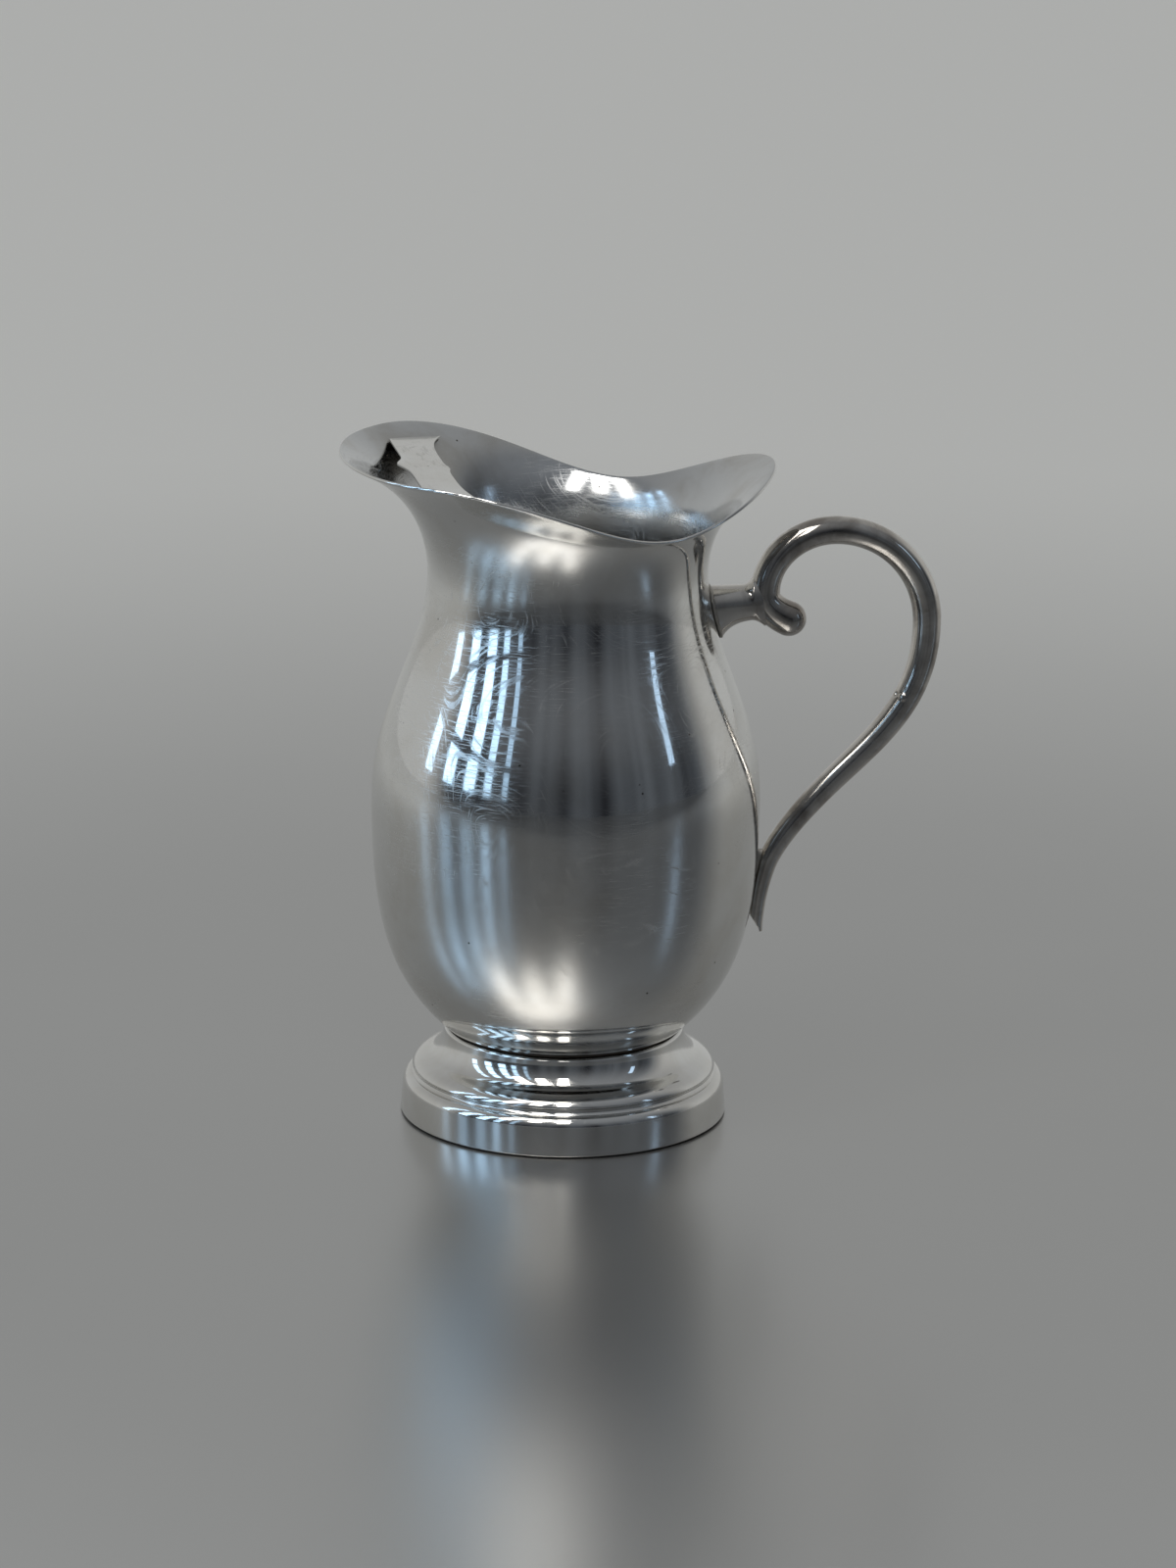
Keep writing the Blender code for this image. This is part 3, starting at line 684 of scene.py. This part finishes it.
# place, direction, reach of the curve before and after, radius of the bar
handle_stations = [
    (curl, curl_in, end_reach, curl_out / 2, curl_radius),
    (root, -down, curl_down / 2, quarter_arc * (bow_top.y - root.y), root_radius),
    (bow_top, Vector((1, 0)), quarter_arc * (bow_top.x - root.x), quarter_arc * bow_radius,
     bow_bar_radius),
    (bow_back, down, quarter_arc * bow_radius, bow_drop / 2, bow_bar_radius),
    (shank, shank_run, bow_drop * shank_entry_share, shank_exit, shank_bar_radius),
    (tail_seat, tail_run, tail_entry, tail_length / 3, tail_bar_radius),
    (tail_tip, down, tail_length / 3, end_reach, tail_tip_radius),
]
bpy.ops.object.select_all(action="DESELECT")
bpy.ops.curve.primitive_bezier_curve_add(location=(0, 0, 0))
scroll = bpy.context.object
scroll.name = "scroll_handle"
scroll.data.bevel_depth = 1
scroll.data.bevel_resolution = 14
scroll.data.resolution_u = 30
scroll.data.use_fill_caps = True
run = scroll.data.splines[0]
run.radius_interpolation = "CARDINAL"
run.bezier_points.add(len(handle_stations) - 2)
for point, (spot, direction, before, after, radius) in zip(run.bezier_points, handle_stations):
    point.handle_left_type = "FREE"
    point.handle_right_type = "FREE"
    point.co = (axis_x + spot.x, 0, spot.y)
    point.handle_left = (axis_x + spot.x - direction.x * before, 0, spot.y - direction.y * before)
    point.handle_right = (axis_x + spot.x + direction.x * after, 0, spot.y + direction.y * after)
    point.radius = radius
bpy.ops.object.convert(target="MESH")
bpy.ops.object.mode_set(mode="EDIT")
bpy.ops.mesh.select_mode(type="FACE")
bpy.ops.mesh.select_all(action="SELECT")
bpy.ops.mesh.remove_doubles(threshold=bar_merge)
bpy.ops.mesh.normals_make_consistent(inside=False)
bpy.ops.mesh.select_all(action="DESELECT")
bpy.ops.object.mode_set(mode="OBJECT")
curl_end = Vector((axis_x + curl.x, 0, curl.y))
for face in scroll.data.polygons:
    face.select = len(face.vertices) == 3 and (face.center - curl_end).length < curl_radius
bpy.ops.object.mode_set(mode="EDIT")
for i in range(1, dome_steps + 1):
    low, high = math.pi / 2 * (i - 1) / dome_steps, math.pi / 2 * i / dome_steps
    step = Vector((-curl_in.x, 0, -curl_in.y)) * curl_radius * (math.sin(high) - math.sin(low))
    shrink = math.cos(high) / math.cos(low)
    curl_end += step
    bpy.ops.mesh.extrude_region_move(TRANSFORM_OT_translate={"value": step})
    bpy.ops.transform.resize(value=(shrink,) * 3, center_override=curl_end)
bpy.ops.mesh.select_all(action="SELECT")
bpy.ops.mesh.remove_doubles(threshold=dome_merge)
cut_place = tail_tip - down * tail_tip_radius
bpy.ops.mesh.bisect(
    plane_co=(axis_x + cut_place.x, 0, cut_place.y),
    plane_no=(-math.cos(tail_cut), 0, -math.sin(tail_cut)),
    use_fill=True, clear_outer=True)
bpy.ops.mesh.bevel(offset=tail_edge_round, segments=3, affect="EDGES")
bpy.ops.mesh.select_all(action="DESELECT")
bpy.ops.object.mode_set(mode="OBJECT")
# a casting flaw on the inner side of the bow: a pit, and a blister of metal beside it
flaw_in = 0.0098
flaw_aside = 0.0012
flaw_down = 0.0256
flaw_reach = 0.0050
pit_radius = 0.0015
pit_depth = 0.0015
blister_radius = 0.0016
blister_height = 0.0004
blister_offset = (0.0012, -0.0021, -0.0004)
flaw_pit = Vector((axis_x + bow_back.x - flaw_in, -flaw_aside, bow_back.y - flaw_down))
flaw_blister = flaw_pit + Vector(blister_offset)
for face in scroll.data.polygons:
    face.select = (face.center - flaw_pit).length < flaw_reach
bpy.ops.object.mode_set(mode="EDIT")
bpy.ops.mesh.subdivide(number_cuts=4, smoothness=1)
bpy.ops.mesh.select_all(action="DESELECT")
bpy.ops.object.mode_set(mode="OBJECT")
normals = [vertex.normal.copy() for vertex in scroll.data.vertices]
for vertex, normal in zip(scroll.data.vertices, normals):
    sunk = max(0.0, 1 - ((vertex.co - flaw_pit).length / pit_radius) ** 2)
    raised = max(0.0, 1 - ((vertex.co - flaw_blister).length / blister_radius) ** 2)
    vertex.co += normal * (blister_height * math.sqrt(raised) - pit_depth * sunk)
bpy.ops.object.shade_smooth_by_angle(angle=handle_smooth)
# Silver plate that is handled and seldom polished: brown-grey toning in patches of about 20 mm.
toned_plate = silver_plate(
    "toned_silver_plate", clean="d4d0ca", toned="7c736b", toning=0.75, patch_size=0.020,
    smooth=0.04, dull=0.11, haze=0.14, recess=0.0025)
scroll.data.materials.append(toned_plate)
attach(scroll, "root")
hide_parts("handle_scroll")

stub_fillet = 0.0026
stub_taper = 0.22


def scroll_face(height):
    """Distance from the axis of the scroll's side that faces the neck, at a height near its root."""
    sweep = bow_top - root if height > root.y else root - curl
    bar = Vector((root_radius, root_radius))
    across, along = Vector((abs(sweep.x), abs(sweep.y))) + bar
    rise = min(abs(height - root.y) / along, 1)
    return root.x + abs(sweep.x) - across * math.sqrt(1 - rise**2)


stub = unit_tube("handle_stub", facets=tube_facets, rings=48)
for vertex in stub.data.vertices:
    share, turn = vertex.co.x, math.atan2(vertex.co.z, vertex.co.y)
    out = min(1.0, math.hypot(vertex.co.y, vertex.co.z))
    y, z = socket_section(turn, (1 - share) ** 3, 0)
    y, z = y * out * (1 - stub_taper * share**2), socket_height + (z - socket_height) * out
    neck_end = off_side(y, z, 2 * seam_gap + solder)
    x = neck_end + (root.x - neck_end) * share
    swell = 0.0
    for _ in range(fitting_rounds):
        near = min(max(scroll_face(z + swell * math.sin(turn)) - x, 0), stub_fillet)
        fillet = stub_fillet - math.sqrt(stub_fillet**2 - (stub_fillet - near) ** 2)
        swell += (fillet - swell) / 3
    vertex.co = (axis_x + x, y, z + swell * math.sin(turn) * out)
bpy.ops.object.shade_smooth_by_angle(angle=handle_smooth)
stub.data.materials.append(toned_plate)
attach(stub, "root")
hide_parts("handle_socket")

# TAIL SOLDER
# The spot of soft solder between the tail and the bowl, a little narrower in the middle of its depth.
spot_half_width = 0.0021
spot_half_height = 0.0060
spot_depth = solder + 0.0030
spot_waist = 0.25
tail_pad = unit_tube("tail_spot", facets=48, rings=8)
for vertex in tail_pad.data.vertices:
    share, y = vertex.co.x, vertex.co.y * spot_half_width
    z = tail_height + vertex.co.z * spot_half_height
    y *= 1 - spot_waist * math.sin(math.pi * share)
    vertex.co = (axis_x + off_side(y, z, solder_off_wall + share * spot_depth), y, z)
bpy.ops.object.shade_smooth_by_angle(angle=solder_smooth)
tail_pad.data.materials.append(pale_solder)
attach(tail_pad, "root")
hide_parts("tail_solder")

# FLOOR
# A plain studio floor of lacquered sheet metal with a satin gloss, pale far off, a little greyer round
# the pitcher and in front: painted shade round the pitcher and in front, painted light far off. It shows
# the pale wall to the camera, and the dim curtains to the pitcher.
floor_size = 12
floor_drop = 0.0001
bpy.ops.object.select_all(action="DESELECT")
bpy.ops.mesh.primitive_plane_add(size=floor_size, location=(0, 0, -floor_drop))
floor = bpy.context.object
floor.name = "studio_floor"
# Satin lacquer on metal: blurred reflections, and a faint cloudiness of about 200 mm.
floor_cloud_size = 0.200
floor_cloud_share = 0.06
painted_shade_within = 0.25
painted_light_beyond = 1.10
front_shade_start = -0.90
front_shade_end = -0.30
floor_lacquer, floor_tree, floor_shader, floor_place = start_material("satin_grey_lacquer")
floor_cloud = add_node(floor_tree, "ShaderNodeTexNoise", {}, {
    "Vector": floor_place, "Scale": 1 / floor_cloud_size, "Detail": 3}).outputs["Fac"]
floor_far = add_node(floor_tree, "ShaderNodeVectorMath", {"operation": "LENGTH"}, {
    0: floor_place}).outputs["Value"]
# paler with distance from the pitcher: painted shade near it, painted light far off
floor_far = add_node(floor_tree, "ShaderNodeMapRange", eased, {
    "Value": floor_far, "From Min": painted_shade_within, "From Max": painted_light_beyond}).outputs["Result"]
floor_shade = add_node(floor_tree, "ShaderNodeMath", {"operation": "MULTIPLY_ADD"}, {
    0: floor_cloud, 1: floor_cloud_share, 2: floor_far}).outputs[0]
floor_colour = add_node(floor_tree, "ShaderNodeMix", in_colour, {
    0: floor_shade, 6: linear("b6b6b5"), 7: linear("f0f0ee")}).outputs[2]
floor_depth = add_node(floor_tree, "ShaderNodeSeparateXYZ", {}, {"Vector": floor_place}).outputs["Y"]
# greyer in front of the pitcher: painted shade
floor_front_shade = add_node(floor_tree, "ShaderNodeMapRange", eased, {
    "Value": floor_depth, "From Min": front_shade_start, "From Max": front_shade_end}).outputs["Result"]
floor_colour = add_node(floor_tree, "ShaderNodeMix", in_colour, {
    0: floor_front_shade, 6: linear("a6a7a7"), 7: floor_colour}).outputs[2]
floor_tree.links.new(floor_colour, floor_shader.inputs["Base Color"])
floor_shader.inputs["Metallic"].default_value = 0.90
floor_shader.inputs["Roughness"].default_value = 0.28
floor.data.materials.append(floor_lacquer)

# LIGHT
# Cool window lights from the left, a slim one from the right, a warm soft light high in front in three
# strips, and a room that is pale behind the pitcher and hung with dim curtains behind the camera. The
# low panes at the side light the floor at about a third, so that it stays plain.
middle_height = 0.12
middle = Vector((axis_x, 0, middle_height))
towards_camera = math.radians(-100)
window_colour = "b0d4f4"
window_distance = 1.7
window_rows = (0.16, 0.38, 0.60, 0.86)
pane_height = 0.30
# turn from the camera in degrees, width, radiance
window_columns = ((36, 0.10, 1.0), (47, 0.14, 2.0), (59, 0.22, 3.0), (74, 0.22, 3.2), (90, 0.18, 2.2))
side_turn = 50
low_row = 0.5
floor_light_share = 0.35
pane_setback = 0.002
skylight_strips = (-0.5, 0, 0.5)


def stand_off(bearing, lift, distance):
    """A place at a bearing from the pitcher's middle, raised by a share of the distance."""
    return middle + Vector((math.cos(bearing), math.sin(bearing), lift)) * distance


def soft_light(name, place, width, height, radiance, colour):
    """A rectangular lamp that faces the pitcher's middle."""
    lamp = bpy.data.lights.new(name, "AREA")
    lamp.shape = "RECTANGLE"
    lamp.size = width
    lamp.size_y = height
    lamp.energy = radiance * math.pi * width * height
    lamp.color = linear(colour)[:3]
    stand = bpy.data.objects.new(name, lamp)
    stand.location = place
    stand.rotation_euler = (middle - place).to_track_quat("-Z", "Y").to_euler()
    bpy.context.scene.collection.objects.link(stand)
    return stand


pitcher = bpy.data.collections.new("pitcher")
for piece in (foot, foot_solder, vessel, guard, socket_seam, scroll, stub, tail_pad):
    pitcher.objects.link(piece)
for turn, width, radiance in window_columns:
    bearing = towards_camera - math.radians(turn)
    for lift in window_rows:
        place = stand_off(bearing, lift, window_distance)
        kept = floor_light_share if turn > side_turn and lift < low_row else 1
        soft_light("window_left", place, width, pane_height, radiance * kept, window_colour)
        if kept < 1:
            place = place + (place - middle) * pane_setback
            pane = soft_light(
                "window_left", place, width, pane_height, radiance * (1 - kept), window_colour)
            pane.light_linking.receiver_collection = pitcher
bearing = towards_camera + math.radians(68)
place = stand_off(bearing, lift=0.36, distance=1.9)
soft_light("window_right", place, width=0.14, height=0.6, radiance=1.2, colour="b8d6f4")
bearing = towards_camera - math.radians(24)
sideways = Vector((-math.sin(bearing), math.cos(bearing), 0))
for aside in skylight_strips:
    place = stand_off(bearing, lift=1.55, distance=1.1) + sideways * aside
    soft_light("skylight", place, width=0.30, height=1.3, radiance=4.8, colour="fffcf8")
camera_side = (-0.05, -1.0, 0.0)
fold_scale = 3.2
world = bpy.data.worlds.new("studio")
bpy.context.scene.world = world
world.use_nodes = True
sky = world.node_tree
towards = add_node(sky, "ShaderNodeTexCoord", {}, {}).outputs["Generated"]
facing = add_node(sky, "ShaderNodeVectorMath", {"operation": "DOT_PRODUCT"}, {
    0: towards, 1: camera_side}).outputs["Value"]
dimming = add_node(sky, "ShaderNodeMapRange", eased, {
    "Value": facing, "From Min": -0.22, "From Max": 0.22}).outputs["Result"]
level = add_node(sky, "ShaderNodeVectorMath", {"operation": "MULTIPLY"}, {
    0: towards, 1: (1, 1, 0)}).outputs["Vector"]
level = add_node(sky, "ShaderNodeVectorMath", {"operation": "NORMALIZE"}, {0: level}).outputs["Vector"]
folds = add_node(sky, "ShaderNodeTexNoise", {}, {
    "Vector": level, "Scale": fold_scale, "Detail": 2}).outputs["Fac"]
folds = add_node(sky, "ShaderNodeMapRange", {}, {
    "Value": folds, "From Min": 0.30, "From Max": 0.70}).outputs["Result"]
curtain = add_node(sky, "ShaderNodeMix", in_colour, {
    0: folds, 6: linear("1f2024"), 7: linear("5a5f65")}).outputs[2]
up = add_node(sky, "ShaderNodeSeparateXYZ", {}, {"Vector": towards}).outputs["Z"]
raised = add_node(sky, "ShaderNodeMapRange", eased, {
    "Value": up, "From Min": 0.10, "From Max": 1.0}).outputs["Result"]
curtain = add_node(sky, "ShaderNodeMix", in_colour, {
    0: raised, 6: curtain, 7: linear("878a8e")}).outputs[2]
wall = add_node(sky, "ShaderNodeMix", in_colour, {
    0: raised, 6: linear("bbbcbb"), 7: linear("979899")}).outputs[2]
room = add_node(sky, "ShaderNodeMix", in_colour, {0: dimming, 6: wall, 7: curtain}).outputs[2]
sky.links.new(room, sky.nodes["Background"].inputs["Color"])

# CAMERA
# At the photograph's viewing angle: a long lens, a little above the rim.
lens = bpy.data.cameras.new("camera")
lens.lens = 157.5
lens.sensor_width = 36
camera = bpy.data.objects.new("camera", lens)
camera.location = (-0.42562, -2.23879, 0.75790)
camera.rotation_euler = [math.radians(turn) for turn in (74.261, -0.5775, -10.139)]
bpy.context.scene.collection.objects.link(camera)
bpy.context.scene.camera = camera
bpy.context.scene.view_settings.view_transform = "Standard"
